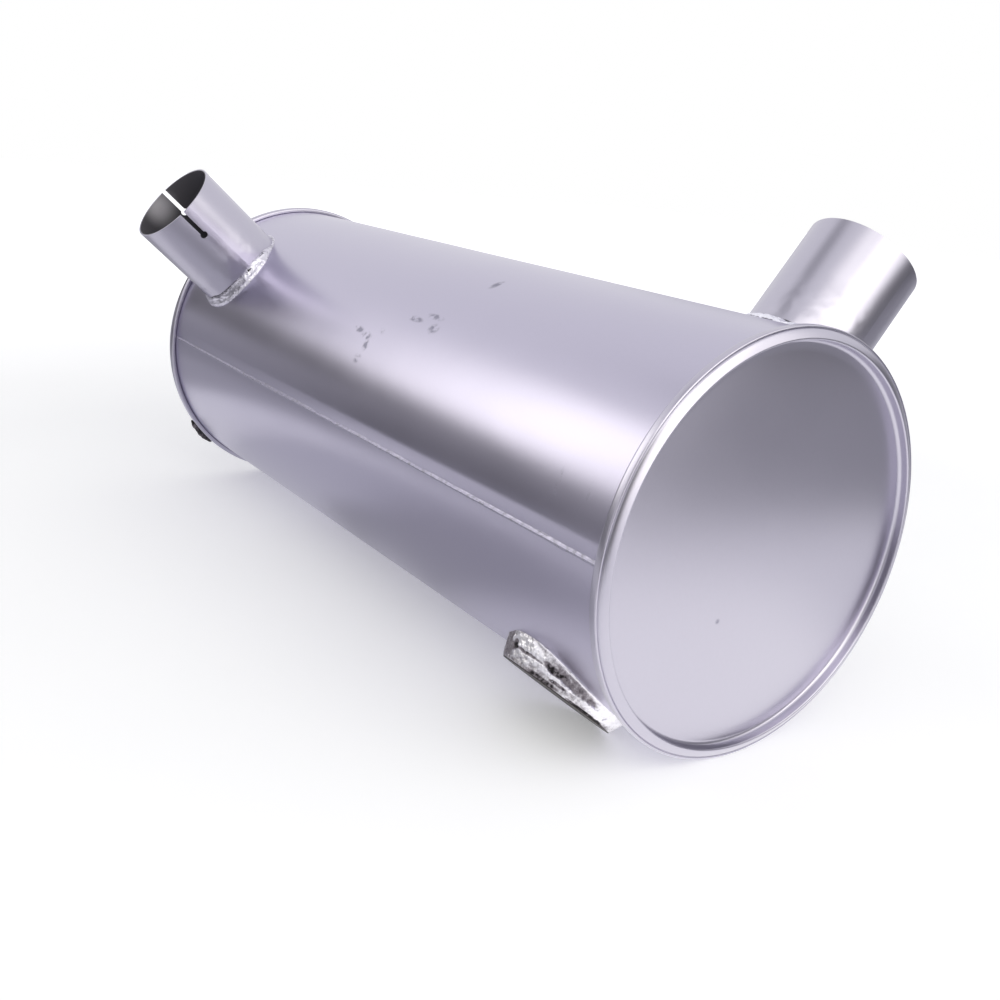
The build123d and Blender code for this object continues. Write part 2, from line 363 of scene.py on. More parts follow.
@dataclass(frozen=True)
class SilverPaint:
    """Satin aluminium paint sprayed on the drum, the caps and the pipes.

    The whole range of its roughness lies above 0.275, because the denoiser draws a line on the
    surface where the roughness passes that value.
    """

    name: str
    colour: Colour = (0.50, 0.48, 0.575)
    metallic: float = 1.0
    roughness: Pair = (0.277, 0.315)
    clouds: float = 0.05
    flakes: float = 0.03
    marks: tuple[Smudge, ...] = ()
    mark_colour: Colour = (0.27, 0.26, 0.34)
    mark_roughness: float = 0.2
    dents: float = 0.0
    dented_zone: Pair = (0.17, 0.138)
    bore: Bore | None = None

    def build(self, effects: Effects) -> Material:
        """Make the material.

        Args:
            effects: the shared node groups.

        Returns:
            The material.
        """
        material, nodes, shader = principled(self.name)
        shades = {"Colour": self.colour, "Clouds": self.clouds, "Flakes": self.flakes}
        mottle = nodes.put(effects.mottle, **shades)
        colour, metallic, waves = mottle["Colour"], self.metallic, 1.0
        rough = nodes.ramp(mottle["Mask"], 0.25, 0.75, *self.roughness)
        worn = None
        for mark in self.marks:
            centre = about_drum(mark.x, mark.from_axis, radians(mark.angle))
            reach = (mark.along, mark.round_drum, mark.round_drum)
            smudge = nodes.put(effects.smudge, Centre=centre, Reach=reach, Ragged=mark.strength)
            mask = smudge["Mask"]
            worn = mask if worn is None else nodes.math("MAXIMUM", worn, mask)
        if worn is not None:
            colour = nodes.mix(worn, colour, self.mark_colour)
            rough = nodes.math("ADD", rough, nodes.math("MULTIPLY", worn, self.mark_roughness))
        if self.bore is not None:
            # The bore's colour, named bare here, is painted shade with a patch of painted light.
            inside, bare = self.bore.look(nodes)
            colour = nodes.mix(inside, colour, bare)
            rough = nodes.math("ADD", rough, nodes.math("MULTIPLY", inside, self.bore.roughness))
            metallic = nodes.ramp(inside, 0, 1, self.metallic, self.bore.metallic)
        if self.dents:
            across = nodes.vector("MULTIPLY", nodes.place(), (0.0, 1.0, 1.0))
            from_axis = nodes.vector("LENGTH", across)
            waves = nodes.ramp(from_axis, *self.dented_zone, 1, self.dents)
        nodes.feed(shader.inputs["Base Color"], colour)
        nodes.feed(shader.inputs["Roughness"], rough)
        nodes.feed(shader.inputs["Metallic"], metallic)
        effects.roughen(nodes, shader, 0.05 * MM, Peel=0.02, Waves=waves)
        return material


@dataclass(frozen=True)
class WeldMetal:
    """Rough weld bead: bright on its ridges and dark in its hollows.

    The mesh carries a point attribute named relief, 0 in a hollow and 1 on a ridge. Its dark end is
    partly the weld's own scale and partly painted shade, in crevices and where the bead meets the
    pipe and the drum; its bright end is partly lighter metal and partly a painted highlight on the
    ridges.
    """

    name: str
    ridge: Colour
    scale: Colour = (0.25, 0.225, 0.255)
    hollow: Colour = (0.03, 0.027, 0.03)
    speck: float = 0.35
    roughness: Pair = (0.59, 0.34)
    metallic: float = 0.9

    def build(self, effects: Effects) -> Material:
        """Make the material.

        Args:
            effects: the shared node groups.

        Returns:
            The material.
        """
        material, nodes, shader = principled(self.name)
        relief = nodes.add("Attribute", attribute_name="relief").outputs["Fac"]
        speck = nodes.swing(nodes.noise(nodes.place(), 700, 3, 0.7), self.speck)
        level = nodes.math("ADD", relief, speck)
        # Low levels take the hollow and scale colours, partly painted shade; high levels the ridge
        # colour, partly a painted highlight.
        dull = nodes.mix(nodes.ramp(level, 0, 0.3), self.hollow, self.scale)
        lit = nodes.put(effects.mottle, Colour=self.ridge, Clouds=0.12, Flakes=0.25)["Colour"]
        colour = nodes.mix(nodes.ramp(level, 0.3, 0.85), dull, lit)
        nodes.feed(shader.inputs["Base Color"], colour)
        nodes.feed(shader.inputs["Roughness"], nodes.ramp(level, 0.1, 0.8, *self.roughness))
        shader.inputs["Metallic"].default_value = self.metallic
        effects.roughen(nodes, shader, 0.25 * MM, Peel=0.5, Waves=0.6, Scale=0.6)
        return material


@dataclass(frozen=True)
class BareSteel:
    """Unpainted steel inside the drum, dulled by heat, and the outlet's end plate in painted shade.
    """

    name: str = "bare_steel"
    colour: Colour = (0.40, 0.39, 0.40)
    tint: Colour = (0.30, 0.24, 0.20)
    roughness: Pair = (0.36, 0.52)

    def build(self, effects: Effects) -> Material:
        """Make the material.

        Args:
            effects: the shared node groups.

        Returns:
            The material.
        """
        material, nodes, shader = principled(self.name)
        mottle = nodes.put(effects.mottle, Colour=self.colour, Clouds=0.25, Flakes=0.1)
        clouds = mottle["Mask"]
        tinted = nodes.mix(nodes.ramp(clouds, 0.45, 0.75), mottle["Colour"], self.tint)
        nodes.feed(shader.inputs["Base Color"], tinted)
        nodes.feed(shader.inputs["Roughness"], nodes.ramp(clouds, 0.3, 0.7, *self.roughness))
        shader.inputs["Metallic"].default_value = 1.0
        effects.roughen(nodes, shader, 0.1 * MM, Peel=0.4, Waves=0.5)
        return material


# Mesh building


def about_drum(x: float, radius: float, angle: float) -> Triple:
    """Point at a distance from the drum's axis, at an angle in radians."""
    return (x, radius * cos(angle), radius * sin(angle))


def about_pipe(rows: list, x: float, angle: float) -> np.ndarray:
    """Move rows of points from the frame of a pipe, with Z along it, to the drum's."""
    turn = np.array(Matrix.Rotation(radians(angle - 90), 3, "X"))
    return np.array(rows) @ turn.T + np.array([x, 0, 0])


def grid_object(
    name: str, points: np.ndarray, closed: tuple[bool, bool], caps: bool = False
) -> Object:
    """Make a mesh of quads from rows and columns of points.

    Args:
        name: the object's name.
        points: array of rows, columns and 3 coordinates.
        closed: whether the rows and the columns run round to the first again.
        caps: whether the first and the last row are closed with a face.

    Returns:
        The new object, with its faces turned outwards and shaded smooth.
    """
    rows, columns = points.shape[:2]
    index = np.arange(rows * columns).reshape(rows, columns)
    if closed[0]:
        index = np.vstack([index, index[:1]])
    if closed[1]:
        index = np.hstack([index, index[:, :1]])
    corners = [index[:-1, :-1], index[1:, :-1], index[1:, 1:], index[:-1, 1:]]
    faces = np.stack(corners, axis=-1).reshape(-1, 4).tolist()
    if caps:
        faces.append(list(range(columns))[::-1])
        faces.append(list(range((rows - 1) * columns, rows * columns)))
    mesh = bpy.data.meshes.new(name)
    mesh.from_pydata(points.reshape(-1, 3).tolist(), [], faces)
    shell = bmesh.new()
    shell.from_mesh(mesh)
    bmesh.ops.recalc_face_normals(shell, faces=shell.faces)
    shell.to_mesh(mesh)
    shell.free()
    mesh.polygons.foreach_set("use_smooth", [True] * len(mesh.polygons))
    made = bpy.data.objects.new(name, mesh)
    bpy.context.scene.collection.objects.link(made)
    return made


def point_values(piece: Object, name: str, values: Sequence[float]) -> None:
    """Store one number for each point of a piece, in the order of the points."""
    layer = piece.data.attributes.new(name, "FLOAT", "POINT")
    layer.data.foreach_set("value", np.asarray(values, np.float32))


def finish_piece(piece: Object, material: Material, slot: Finish, *nodes: str) -> None:
    """Dress a new piece and say what it stands for.

    Args:
        piece: the object.
        material: its finish.
        slot: the record's slot of that finish; not used.
        nodes: the CAD nodes that it replaces.
    """
    piece.data.materials.clear()
    piece.data.materials.append(material)
    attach(piece, BODY)
    if nodes:
        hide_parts(*nodes)
    replaced = ", ".join(nodes) or "no node"
    LOG.info("%s: %d faces, stands for %s", piece.name, len(piece.data.polygons), replaced)


def smooth_step(value: np.ndarray | float, low: float, high: float) -> np.ndarray | float:
    """Smooth rise from 0 at low to 1 at high."""
    share = np.clip((value - low) / (high - low), 0.0, 1.0)
    return share * share * (3 - 2 * share)


def rough_field(seed: float, scale: float, octaves: int) -> Callable[[Triple], float]:
    """Noise that is the same at each run.

    Args:
        seed: shifts the field.
        scale: grains per metre.
        octaves: number of finer layers.

    Returns:
        A function of a point, about -1 to 1.
    """
    shift = Vector((seed * 7.31, seed * 3.17, seed * 5.53))

    def value(point: Triple) -> float:
        """Noise at a point."""
        return noise.fractal(Vector(point) * scale + shift, 0.9, 2.1, octaves)

    return value


@dataclass
class Layout:
    """Sizes that several pieces share, and how the muffler lies by them."""

    drum_radius: float = 125.0 * MM
    half_length: float = 305.5 * MM
    rim_proud: float = 3.8 * MM
    rim_width: float = 8.5 * MM
    foot_stand_out: float = 10.0 * MM
    inlet_radius: float = 37.0 * MM
    outlet_radius: float = 38.15 * MM
    inlet_from_end: float = 70.0 * MM
    outlet_from_end: float = 72.0 * MM
    pipe_spread: float = 88.5
    seam_spread: float = 126.3

    @property
    def inlet_x(self) -> float:
        """Place of the inlet along the drum."""
        return self.inlet_from_end - self.half_length

    @property
    def outlet_x(self) -> float:
        """Place of the outlet along the drum."""
        return self.half_length - self.outlet_from_end

    @property
    def outlet_angle(self) -> float:
        """Direction of the outlet about the drum, with the rims and the foot on the floor.

        Returns:
            The angle in degrees.
        """
        foot = self.drum_radius + self.foot_stand_out
        reach = hypot(foot, self.outlet_radius)
        lean = acos((self.drum_radius + self.rim_proud) / reach)
        return 90 - degrees(atan2(self.outlet_radius, foot)) - degrees(lean)

    @property
    def inlet_angle(self) -> float:
        """Direction of the inlet about the drum, in degrees."""
        return self.outlet_angle + self.pipe_spread

    @property
    def seam_angle(self) -> float:
        """Place of the seam about the drum, in degrees."""
        return self.outlet_angle + self.seam_spread


@dataclass
class Drum:
    """The rolled drum skin with its lap seam, and the thin bead along that seam."""

    layout: Layout
    hole_clearance: float = 0.15 * MM
    drill_reach: Pair = (0.04, 0.2)
    sheet: float = 1.5 * MM
    flange_back: float = 5.3 * MM
    end_zone: float = 8.0 * MM
    swell: float = 0.12 * MM
    crease_from_edge: float = 11.6 * MM
    crease_round: float = 3.0 * MM
    lap_dip: float = 1.35 * MM
    lap_under: float = 12.0 * MM
    edge_width: float = 0.8 * MM
    bead_width: float = 2.3 * MM
    bead_crown: float = 0.4 * MM
    bead_offset: float = 0.4 * MM
    bead_drift: float = 0.25 * MM
    bead_uneven: float = 0.22
    bead_widening: float = 0.35
    rows: int = 150

    def lap(self, arc: np.ndarray) -> np.ndarray:
        """How far the outer face lies under the round, by the distance past the seam's edge.

        Args:
            arc: signed distance round the drum from the edge of the upper sheet, in metres.

        Returns:
            The depth at each place.
        """
        slope = np.clip((arc + self.crease_from_edge) / self.crease_from_edge, 0.0, 1.0)
        bend = self.crease_round / self.crease_from_edge
        eased = np.where(slope < bend, slope * slope / (2 * bend), slope - bend / 2)
        return self.lap_dip * eased * (1 - smooth_step(arc, -self.edge_width, 0.0))

    def angles(self) -> np.ndarray:
        """Place the grid's columns round the drum, close together at the seam.

        Returns:
            Their angles in radians.
        """
        crease, margin = -self.crease_from_edge, 3 * MM
        spans = (
            (crease - margin, crease + margin, 14),
            (crease + margin, -1.2 * MM, 8),
            (-1.2 * MM, 0.4 * MM, 9),
            (0.4 * MM, self.lap_under + 1 * MM, 9),
        )
        lines = [np.linspace(*span, endpoint=False) for span in spans]
        fine = np.concatenate(lines) / self.layout.drum_radius
        coarse = np.linspace(fine[-1] + 0.015, fine[0] + 2 * pi, 250, endpoint=False)
        return radians(self.layout.seam_angle) + np.concatenate([fine, coarse])

    def build(self, paint: Material) -> None:
        """Make the skin as one closed sheet, flared at both ends, with its pipe holes cut.

        Args:
            paint: the silver paint.
        """
        layout, angles = self.layout, self.angles()
        radius = layout.drum_radius
        arc = (angles - radians(layout.seam_angle)) * radius
        end = layout.half_length - self.flange_back
        middle = end - self.end_zone
        outer_x = np.concatenate([
            np.linspace(-end, -middle, 8, endpoint=False),
            np.linspace(-middle, middle, self.rows, endpoint=False),
            np.linspace(middle, end, 8),
        ])
        dip = self.lap(arc)
        under = self.lap_dip * (1 - smooth_step(arc, self.lap_under - 1.5 * MM, self.lap_under))
        inner_dip = np.where(arc < 0, dip, under)
        from_rim = layout.half_length - layout.rim_width - np.abs(outer_x)
        wave = rough_field(3.0, 9.0, 2)
        rows = []
        for x, share in zip(outer_x, smooth_step(from_rim, -1 * MM, 3 * MM)):
            row = []
            for angle, depth in zip(angles, dip):
                swell = self.swell * wave(about_drum(x, radius, angle)) * share
                row.append(about_drum(x, radius - depth * share + swell, angle))
            rows.append(row)
        for x in np.linspace(end, -end, 24):
            depths = self.sheet + inner_dip * smooth_step(end - abs(x), 0, 12 * MM)
            rows.append([about_drum(x, radius - depth, a) for a, depth in zip(angles, depths)])
        skin = grid_object("drum_skin", np.array(rows), (True, True))
        for x, angle, pipe_radius in (
            (layout.inlet_x, layout.inlet_angle, layout.inlet_radius),
            (layout.outlet_x, layout.outlet_angle, layout.outlet_radius),
            (layout.outlet_x, layout.outlet_angle + 180, layout.outlet_radius),
        ):
            self._cut(skin, x, angle, pipe_radius + self.hole_clearance)
        skin.data.set_sharp_from_angle(angle=SHARP_EDGE)
        finish_piece(skin, paint, Finish.SILVER_PAINT, "drum_shell")

    def _cut(self, skin: Object, x: float, angle: float, hole_radius: float) -> None:
        """Cut a round hole through one wall of the skin.

        Args:
            skin: the drum skin.
            x: place along the drum.
            angle: direction about the drum in degrees.
            hole_radius: radius of the hole.
        """
        ring = np.linspace(0, 2 * pi, 128, endpoint=False)
        circle = [(hole_radius * cos(a), hole_radius * sin(a)) for a in ring]
        rows = [[(*point, z) for point in circle] for z in self.drill_reach]
        drill = grid_object("drill", about_pipe(rows, x, angle), (False, True), caps=True)
        cut = skin.modifiers.new("hole", "BOOLEAN")
        cut.operation, cut.solver, cut.object = "DIFFERENCE", "EXACT", drill
        bpy.context.view_layer.update()
        graph = bpy.context.evaluated_depsgraph_get()
        whole, skin_mesh = skin.data, bpy.data.meshes.new_from_object(skin.evaluated_get(graph))
        skin.modifiers.clear()
        skin.data = skin_mesh
        skin_mesh.name = skin.name
        bpy.data.meshes.remove(whole)
        bpy.data.objects.remove(drill)

    def build_bead(self, metal: Material) -> None:
        """Make the thin uneven bead on the upper sheet's edge.

        Args:
            metal: the weld's finish.
        """
        radius, seam = self.layout.drum_radius, radians(self.layout.seam_angle)
        reach = self.layout.half_length - self.layout.rim_width
        drift = rough_field(11.0, 60.0, 2)
        lumps = rough_field(12.0, 420.0, 3)
        shares = np.linspace(-1.0, 1.0, 9)
        rows, relief = [], []
        for x in np.linspace(-reach, reach, 900):
            fade = smooth_step(reach - abs(x), 0, 2 * MM)
            wider = self.bead_uneven * drift((x, 0, 0))
            wider += self.bead_widening * smooth_step(x, 0.12, 0.3)
            half_width = self.bead_width * (1 + wider) / 2
            offset = self.bead_drift * drift((x, 1, 0)) - self.bead_offset
            row = []
            for share in shares:
                bulge = sqrt(max(1 - share * share, 0.0))
                lump = lumps((x, share * 0.002, 0))
                height = self.bead_crown * bulge * (0.75 + 0.45 * lump)
                arc = offset + share * half_width
                base = -self.lap_dip * smooth_step(-arc, 0.2 * MM, 1.2 * MM) * 0.75
                place = radius + (base + height) * fade - 0.05 * MM
                row.append(about_drum(x, place, seam + arc / radius))
                relief.append(np.clip(0.45 + 0.5 * bulge * (0.6 + lump), 0, 1))
            for share in shares[::-1]:
                arc = offset + share * half_width
                row.append(about_drum(x, radius - self.lap_dip - 0.6 * MM, seam + arc / radius))
                relief.append(0.2)
            rows.append(row)
        bead = grid_object("seam_bead", np.array(rows), (False, True), caps=True)
        point_values(bead, "relief", relief)
        finish_piece(bead, metal, Finish.PAINTED_WELD, "drum_seam_weld")


@dataclass
class EndCap:
    """Pressed cap, turned about the drum's axis: domed panel, recess wall and grooved rim."""

    layout: Layout
    name: str
    node: str
    side: int
    segments: int = 480
    sheet: float = 1.5
    dome: float = 1265.9
    dome_from: float = 6.0
    panel_depth: float = 1.8
    panel_radius: float = 116.5
    recess_radius: float = 121.0

    @staticmethod
    def _bow(centre: Pair, radius: float, start: float, stop: float, count: int) -> list[Pair]:
        """Points of an arc in the section, with angles in degrees from the axis outwards."""
        turns = [radians(a) for a in np.linspace(start, stop, count)]
        return [(centre[0] + radius * cos(a), centre[1] + radius * sin(a)) for a in turns]

    def section(self) -> list[Pair]:
        """Section in millimetres, from the middle of the panel round the rim and back inside.

        Returns:
            Places along the axis, from the front of the rim, and distances from the axis.
        """
        panel = []
        for r in np.linspace(0.3, self.panel_radius, 40):
            rise = sqrt(self.dome**2 - max(r - self.dome_from, 0.0) ** 2) - self.dome
            panel.append((rise - self.panel_depth, r))
        corner = self._bow((-3.9, 118.4), 2.6, -175, -270, 12)
        corner = [(x, r) for x, r in corner if r < self.recess_radius]
        wall = [(-3.0, self.recess_radius), (-2.0, self.recess_radius)]
        crest = self._bow((-1.1, 122.1), 1.1, -90, 27, 12)
        band = [(-0.55, 123.5), (-1.05, 124.5), (-1.6, 125.5), (-2.25, 126.4), (-2.7, 126.95)]
        groove = [(-3.1, 127.1), (-3.3, 127.3), (-3.2, 127.55)]
        ridge = self._bow((-3.7, 127.95), 0.85, -20, 90, 8)
        back = self._bow((-6.6, 126.9), 1.9, 90, 180, 8)
        back += [(-8.5, 126.2), (-8.5, 125.6), (-8.0, 125.1), (-7.0, 125.04), (-5.0, 125.04)]
        inside = [(-4.95, 123.4), (-7.6, 123.35), (-8.2, 121.5), (-8.3, 117.0)]
        inside += [(x - self.sheet, r) for x, r in panel[::-4]]
        return panel + corner + wall + crest + band + groove + ridge + back + inside

    def build(self, paint: Material) -> None:
        """Make the cap.

        Args:
            paint: the silver paint.
        """
        turns = np.linspace(0, 2 * pi, self.segments, endpoint=False)
        rows = []
        for x, r in self.section():
            place = self.side * (self.layout.half_length + x * MM)
            rows.append([about_drum(place, r * MM, a) for a in turns])
        cap = grid_object(self.name, np.array(rows), (False, True), caps=True)
        cap.data.set_sharp_from_angle(angle=radians(38))
        finish_piece(cap, paint, Finish.SILVER_PAINT, self.node)


@dataclass(frozen=True)
class Patch:
    """Part of a bead that is lighter or darker, and higher or lower, than the rest.

    The angle runs round the pipe in degrees, the share across the bead from 0 at the drum to 1.
    """

    angle: float
    share: float
    wide: float
    tall: float
    level: float

    def blend(self, angle: float, share: float, level: float) -> float:
        """Mix the patch into the level that a place on the bead has so far.

        Args:
            angle: place round the pipe in degrees.
            share: place across the bead.
            level: the level so far, 0 to 1.

        Returns:
            The new level.
        """
        turned = (angle - self.angle + 180) % 360 - 180
        away = hypot(turned / self.wide, (share - self.share) / self.tall)
        return level + (self.level - level) * (1 - smooth_step(away, 0.6, 1.15))


@dataclass
class PipeWeld:
    """Bead round a pipe, made station by station in the pipe's own frame.

    Its noise has coarse lumps, fine pits and a slow sway of its edges, each given by its grains per
    metre and its number of layers.
    """

    layout: Layout
    name: str
    node: str
    x: float
    angle: float
    pipe_radius: float
    patches: tuple[Patch, ...] = ()
    seed: float = 1.0
    level: float = 0.72
    stations: int = 620
    across: int = 28
    grains: tuple[tuple[float, int], ...] = ((130, 3), (520, 3), (60, 2))

    def __post_init__(self) -> None:
        """Set up the noise."""
        fields = [rough_field(self.seed + 20 * i, *grain) for i, grain in enumerate(self.grains)]
        self.lumps, self.pits, self.sway = fields

    def on_drum(self, distance: float, s: float) -> float:
        """Height of the drum's face at a distance from the pipe's axis, by the turn's sine."""
        return sqrt(max(self.layout.drum_radius**2 - (distance * s) ** 2, 1e-6))

    def station(self, turn: float) -> tuple[list[Triple], list[float]]:
        """Points round the bead's section at an angle round the pipe, and the relief of each."""
        raise NotImplementedError

    def build(self, metal: Material) -> None:
        """Make the bead.

        Args:
            metal: the weld's finish.
        """
        turns = np.linspace(0, 2 * pi, self.stations, endpoint=False)
        rows, relief = zip(*(self.station(turn) for turn in turns))
        bead = grid_object(self.name, about_pipe(rows, self.x, self.angle), (True, True))
        point_values(bead, "relief", np.concatenate(relief))
        finish_piece(bead, metal, Finish.PAINTED_WELD, self.node)


@dataclass
class SaddleWeld(PipeWeld):
    """Bead along the curve where a pipe leaves the drum, and the pipe's skin beside it.

    Each leg is an angle round the pipe in degrees and the bead's reach along the drum and the pipe
    there, in millimetres. Lumps and pits speckle its level and make the patches' edges ragged.
    """

    legs: tuple[Triple, ...] = ()
    bulge: float = 1.3 * MM
    hollow: float = 0.5 * MM
    rough: float = 0.75
    speckle: Pair = (0.35, 0.4)
    ragged: Pair = (7.0, 0.16)
    lump_height: float = 0.9 * MM
    pit_height: float = 0.5 * MM
    sink: float = 0.9 * MM
    leg_curve: float = 1.15
    lean: float = 0.7
    groove_top: float = 131.25 * MM
    groove_depth: float = 0.55 * MM

    def station(self, turn: float) -> tuple[list[Triple], list[float]]:
        """Make the points round the bead's section at one place.

        Args:
            turn: angle round the pipe in radians.

        Returns:
            The points, and the relief of each.
        """
        c, s, turned, pipe = cos(turn), sin(turn), degrees(turn), self.pipe_radius
        sway = self.sway((pipe * c, pipe * s, 0.0))
        angles, drum_legs, pipe_legs = np.array(self.legs).T
        out_leg = float(np.interp(turned, angles, drum_legs, period=360)) * MM * (1 + 0.1 * sway)
        up_leg = float(np.interp(turned, angles, pipe_legs, period=360)) * MM * (1 - 0.12 * sway)
        size = min(1.0, (out_leg + up_leg) / (10 * MM))
        row, relief = [], []
        for i in range(self.across):
            share = i / (self.across - 1)
            bend = sin(pi * share)
            r = pipe + out_leg * (1 - share) ** self.leg_curve
            z = self.on_drum(r, s) + up_leg * share**self.leg_curve
            spot = (r * c, r * s, z)
            lump, pit = self.lumps(spot), self.pits(spot)
            level = self.level + self.rough * (self.speckle[0] * lump + self.speckle[1] * pit)
            for patch in self.patches:
                place = turned + self.ragged[0] * lump, share + self.ragged[1] * pit
                level = patch.blend(*place, level)
            crown = self.bulge * bend**0.6 - self.hollow * smooth_step(bend, 0.7, 1.0)
            uneven = self.rough * (self.lump_height * lump + self.pit_height * pit)
            uneven += self.sink * min(level - 0.5, 0.0)
            push = size * (crown + bend**0.5 * uneven) * self.lean
            row.append((r * c + push * c, r * s + push * s, z + push))
            relief.append(np.clip(level, 0, 1))
        inner, toe = pipe - 0.5 * MM, pipe + out_leg
        low = self.on_drum(pipe, s) - 0.6 * MM
        row += [(inner * c, inner * s, low + up_leg), (inner * c, inner * s, low)]
        row.append((toe * c, toe * s, self.on_drum(toe, s) - 0.4 * MM))
        return row, relief + [0.2, 0.2, 0.2]

    def build_collar(self, paint: Material) -> None:
        """Make the painted skin of the pipe between the bead and the sound tube.

        Args:
            paint: the silver paint.
        """
        outer, inner = self.pipe_radius + 0.01 * MM, self.pipe_radius - self.groove_depth
        rows = []
        for turn in np.linspace(0, 2 * pi, 240, endpoint=False):
            c, s = cos(turn), sin(turn)
            low = self.on_drum(self.pipe_radius, s) - 0.5 * MM
            heights = np.linspace(low, self.groove_top, 5)
            outside = [(outer * c, outer * s, z) for z in heights]
            rows.append(outside + [(inner * c, inner * s, z) for z in heights[::-1]])
        points = about_pipe(rows, self.x, self.angle)
        collar = grid_object(f"{self.name}_collar", points, (True, True))
        collar.data.set_sharp_from_angle(angle=SHARP_EDGE)
        finish_piece(collar, paint, Finish.SILVER_PAINT, self.node)


@dataclass
class FootWeld(PipeWeld):
    """Heavy, very rough bead from the drum down to the lower end of the outlet pipe."""

    seed: float = 5.0
    level: float = 0.62
    stations: int = 900
    across: int = 44
    grains: tuple[tuple[float, int], ...] = ((110, 3), (420, 4), (30, 2))
    toe: float = 4.85 * MM
    lip: float = 0.5 * MM
    edge: float = 0.35 * MM
    back: float = 0.2 * MM
    lump_height: float = 0.7 * MM
    pit_height: float = 0.3 * MM
    level_height: float = 1.3 * MM
    speckle: Pair = (0.12, 0.3)
    ragged: float = 0.05

    def station(self, turn: float) -> tuple[list[Triple], list[float]]:
        """Make the points round the bead's section at one place.

        Args:
            turn: angle round the pipe in radians.

        Returns:
            The points, and the relief of each.
        """
        c, s, turned, pipe = cos(turn), sin(turn), degrees(turn), self.pipe_radius
        toe = pipe + self.toe * (1 + 0.3 * self.sway((pipe * c, pipe * s, 0)))
        top = self.on_drum(toe, s)
        low = self.layout.drum_radius + self.layout.foot_stand_out - self.lip
        row, relief = [], []
        for i in range(self.across):
            share = i / (self.across - 1)
            r = toe + (pipe + self.edge - toe) * share
            z = top + (low - top) * share
            spot = (r * c, r * s, z)
            lump, pit = self.lumps(spot), self.pits(spot)
            level = self.level + self.speckle[0] * lump
            for patch in self.patches:
                level = patch.blend(turned, share + self.ragged * lump, level)
            level += self.speckle[1] * pit * (1.15 - level)
            uneven = self.lump_height * lump + self.pit_height * pit
            uneven += self.level_height * (level - 0.6)
            hold = smooth_step(1 - share, 0.0, 0.12)
            push = (0.6 + 0.4 * sin(pi * share)) * hold * uneven
            row.append((r * c + push * c, r * s + push * s, z + 0.25 * push))
            relief.append(np.clip(level, 0, 1))
        inner, high = pipe - self.back, top - 1.0 * MM
        row += [(inner * c, inner * s, low), (inner * c, inner * s, high), (toe * c, toe * s, high)]
        return row, relief + [0.3, 0.2, 0.2]


@dataclass
class RimBlob:
    """Dark, knobbly lump on the back of the rear rim."""

    x: float = -304.6 * MM
    from_axis: float = 129.3 * MM
    angles: Pair = (215.5, 229.0)
    thick: float = 3.2 * MM
    tall: float = 3.0 * MM
    seed: float = 8.0

    def build(self, metal: Material) -> None:
        """Make the lump.

        Args:
            metal: the weld's finish.
        """
        lumps = rough_field(self.seed, 170.0, 3)
        rows, relief = [], []
        for share in np.linspace(0.0, 1.0, 72):
            angle = radians(self.angles[0] + (self.angles[1] - self.angles[0]) * share)
            girth = sqrt(max(1 - (2 * share - 1) ** 2, 0.01))
            row = []
            for turn in np.linspace(0, 2 * pi, 32, endpoint=False):
                c, s = cos(turn), sin(turn)
                lump = lumps(about_drum(self.x + c * MM, self.from_axis + s * MM, angle))
                size = girth * (1 + 0.35 * lump)
                radius = self.from_axis + self.tall * size * s
                row.append(about_drum(self.x + self.thick * size * c, radius, angle))
                relief.append(np.clip(0.06 + 0.25 * lump, 0, 1))
            rows.append(row)
        blob = grid_object("rim_blob", np.array(rows), (False, True), caps=True)
        point_values(blob, "relief", relief)
        finish_piece(blob, metal, Finish.PAINTED_WELD)


# Studio


@dataclass(frozen=True)
class Softbox:
    """Soft lamp that hangs round the muffler and faces it."""

    name: str
    azimuth: float
    elevation: float
    width: float
    height: float
    radiance: float
    distance: float = 2.6
    colour: Colour = (1.0, 0.985, 0.84)

    def hang(self) -> None:
        """Make the lamp."""
        lamp = bpy.data.lights.new(self.name, "AREA")
        lamp.shape = "RECTANGLE"
        lamp.size, lamp.size_y = self.width, self.height
        lamp.color = self.colour
        lamp.energy = self.radiance * self.width * self.height * pi
        hung = bpy.data.objects.new(self.name, lamp)
        bpy.context.scene.collection.objects.link(hung)
        azimuth, elevation = radians(self.azimuth), radians(self.elevation)
        level = cos(elevation)
        towards = Vector((level * cos(azimuth), level * sin(azimuth), sin(elevation)))
        hung.location = towards * self.distance
        hung.rotation_euler = towards.to_track_quat("Z", "Y").to_euler()


@dataclass(frozen=True)
class Flag:
    """Card that only shows as a reflection; with equal radii it stands, else it lies or leans."""

    name: str
    azimuths: Pair
    radii: Pair
    heights: Pair
    tone: float
    tint: float = 1.07
    soft: float = 0.25

    def stand(self) -> None:
        """Make the card, which fades out towards its edges."""
        angles = np.linspace(radians(self.azimuths[0]), radians(self.azimuths[1]), 29)
        along, across = np.linspace(0, 1, 29), np.linspace(0, 1, 15)
        fades = [smooth_step(0.5 - np.abs(s - 0.5), 0.0, self.soft) for s in (across, along)]
        rows = []
        for share in across:
            radius = self.radii[0] + (self.radii[1] - self.radii[0]) * share
            height = self.heights[0] + (self.heights[1] - self.heights[0]) * share
            rows.append([(radius * cos(a), radius * sin(a), height) for a in angles])
        card = grid_object(self.name, np.array(rows), (False, False))
        point_values(card, "cover", np.outer(*fades).ravel())
        material = bpy.data.materials.new(self.name)
        material.use_nodes = True
        nodes = Nodes(material.node_tree)
        glow = nodes.add("Emission", {"Color": (self.tone, self.tone, self.tone * self.tint)})
        cover = nodes.add("Attribute", attribute_name="cover").outputs["Fac"]
        clear = nodes.add("BsdfTransparent")
        shown = nodes.add("MixShader", {0: cover, 1: clear.outputs[0], 2: glow.outputs[0]})
        nodes.add("OutputMaterial", {"Surface": shown.outputs[0]})
        card.data.materials.append(material)
        card.visible_camera = card.visible_diffuse = False
        card.visible_shadow = card.visible_transmission = False


